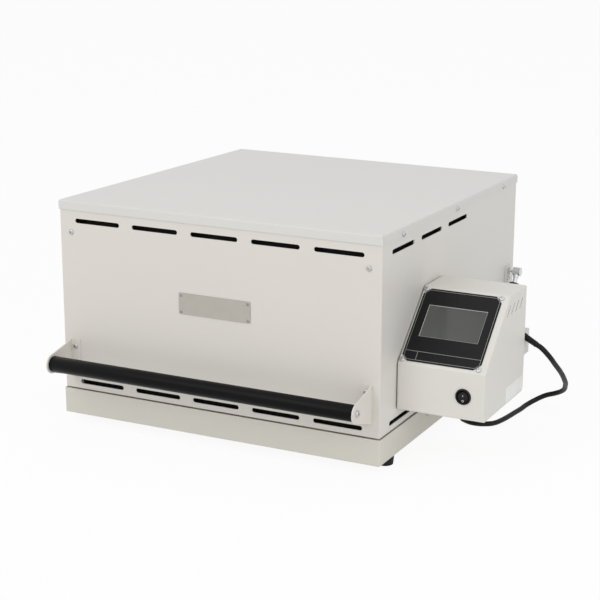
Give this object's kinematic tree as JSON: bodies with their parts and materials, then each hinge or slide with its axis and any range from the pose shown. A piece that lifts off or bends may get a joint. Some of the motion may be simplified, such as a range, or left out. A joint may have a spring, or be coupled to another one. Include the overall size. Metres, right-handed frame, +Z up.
{
  "type": "bead annealing kiln",
  "caption": "Clamshell bead annealing kiln: a brick-lined sheet steel hood on a shallow base, with a bar handle, gas struts and a touch-screen control box.",
  "frame": {"origin": "on the floor, under the middle of the kiln with its handle, hinge and control box, without the mains lead", "axes": "+X to the user's right, towards the control box; +Y to the back, towards the hinge; +Z up"},
  "size_m": [0.7752, 0.7985, 0.368],
  "materials": {
    "cream_powder_coat": "satin, fine orange peel",
    "firebrick": "matte, porous",
    "black_rubber": "matte",
    "screw_steel": "bright zinc plate",
    "black_case": "matte, heat resistant",
    "zinc_steel": "zinc plate",
    "bright_steel": "polished",
    "black_paint": "gloss",
    "black_gloss_plastic": "gloss",
    "screen_glass": "gloss",
    "board_plastic": "matte",
    "black_grip": "satin",
    "strap_fabric": "hook and loop",
    "plate_steel": "brushed",
    "blade_brass": "polished",
    "element_wire": "oxidised",
    "probe_steel": "satin"
  },
  "bodies": {
    "root": {"base_pan": "cream_powder_coat", "floor_bricks": "firebrick", "hearth_board": "firebrick", "feet": "black_rubber", "foot_screws": "screw_steel", "hinge_leaf_base": "zinc_steel", "hinge_pin": "zinc_steel", "base_rivets": "screw_steel", "strut_base_brackets": "cream_powder_coat", "strut_base_studs": "bright_steel", "control_bracket": "cream_powder_coat", "box_shell": "cream_powder_coat", "box_back": "cream_powder_coat", "face_plate": "black_gloss_plastic", "screen_glass": "screen_glass", "face_screws": "screw_steel", "box_screws": "screw_steel", "display_module": "board_plastic", "control_board": "board_plastic", "relays": "board_plastic", "terminal_block": "board_plastic", "switch_body": "black_gloss_plastic", "cord_outlet": "cream_powder_coat", "strain_relief": "black_rubber", "power_cord": "black_rubber", "cord_coil": "black_rubber", "cord_tie": "strap_fabric", "plug_body": "black_rubber", "plug_blades": "blade_brass"},
    "hood": {"hood_front_panel": "cream_powder_coat", "hood_rear_panel": "cream_powder_coat", "hood_left_panel": "cream_powder_coat", "hood_right_panel": "cream_powder_coat", "hood_frame": "zinc_steel", "top_cover": "cream_powder_coat", "cover_screws": "screw_steel", "panel_screws": "screw_steel", "inner_case": "black_case", "bricks_front": "firebrick", "bricks_rear": "firebrick", "bricks_left": "firebrick", "bricks_right": "firebrick", "bricks_top": "firebrick", "elements": "element_wire", "thermocouple": "probe_steel", "name_plate": "plate_steel", "plate_rivets": "screw_steel", "handle_brackets": "cream_powder_coat", "handle_bar": "black_grip", "handle_screws": "screw_steel", "hinge_leaf_hood": "zinc_steel", "hinge_spacer": "zinc_steel", "hinge_rivets_hood": "screw_steel", "strut_hood_brackets": "cream_powder_coat", "strut_hood_studs": "bright_steel"},
    "rocker": {"rocker_button": "black_gloss_plastic"},
    "tube_left": {"strut_tube_left": "black_paint"},
    "tube_right": {"strut_tube_right": "black_paint"},
    "rod_left": {"strut_rod_left": "bright_steel"},
    "rod_right": {"strut_rod_right": "bright_steel"}
  },
  "joints": [
    {"name": "hood_hinge", "type": "hinge", "parent": "root", "child": "hood", "pos_m": [-0.0583, 0.32545, 0.058], "axis": [-1, 0, 0], "range_deg": [0, 60]},
    {"name": "rocker_tip", "type": "hinge", "parent": "root", "child": "rocker", "pos_m": [0.3307, -0.20065, 0.1247], "axis": [-1, 0, 0], "range_deg": [0, 16]},
    {"name": "tube_left_swing", "type": "hinge", "parent": "root", "child": "tube_left", "pos_m": [-0.3573, 0.18145, 0.036], "axis": [-1, 0, 0], "range_deg": [0, 30.2]},
    {"name": "tube_right_swing", "type": "hinge", "parent": "root", "child": "tube_right", "pos_m": [0.2407, 0.18145, 0.036], "axis": [-1, 0, 0], "range_deg": [0, 30.2]},
    {"name": "rod_left_swing", "type": "hinge", "parent": "hood", "child": "rod_left", "pos_m": [-0.3573, 0.28645, 0.199], "axis": [-1, 0, 0], "range_deg": [-30, 0]},
    {"name": "rod_right_swing", "type": "hinge", "parent": "hood", "child": "rod_right", "pos_m": [0.2407, 0.28645, 0.199], "axis": [-1, 0, 0], "range_deg": [-30, 0]}
  ],
  "couplings": [
    {"joint": "tube_left_swing", "follows": "hood_hinge", "ratio": 0.5017},
    {"joint": "tube_right_swing", "follows": "hood_hinge", "ratio": 0.5017},
    {"joint": "rod_left_swing", "follows": "hood_hinge", "ratio": -0.4983},
    {"joint": "rod_right_swing", "follows": "hood_hinge", "ratio": -0.4983}
  ]
}
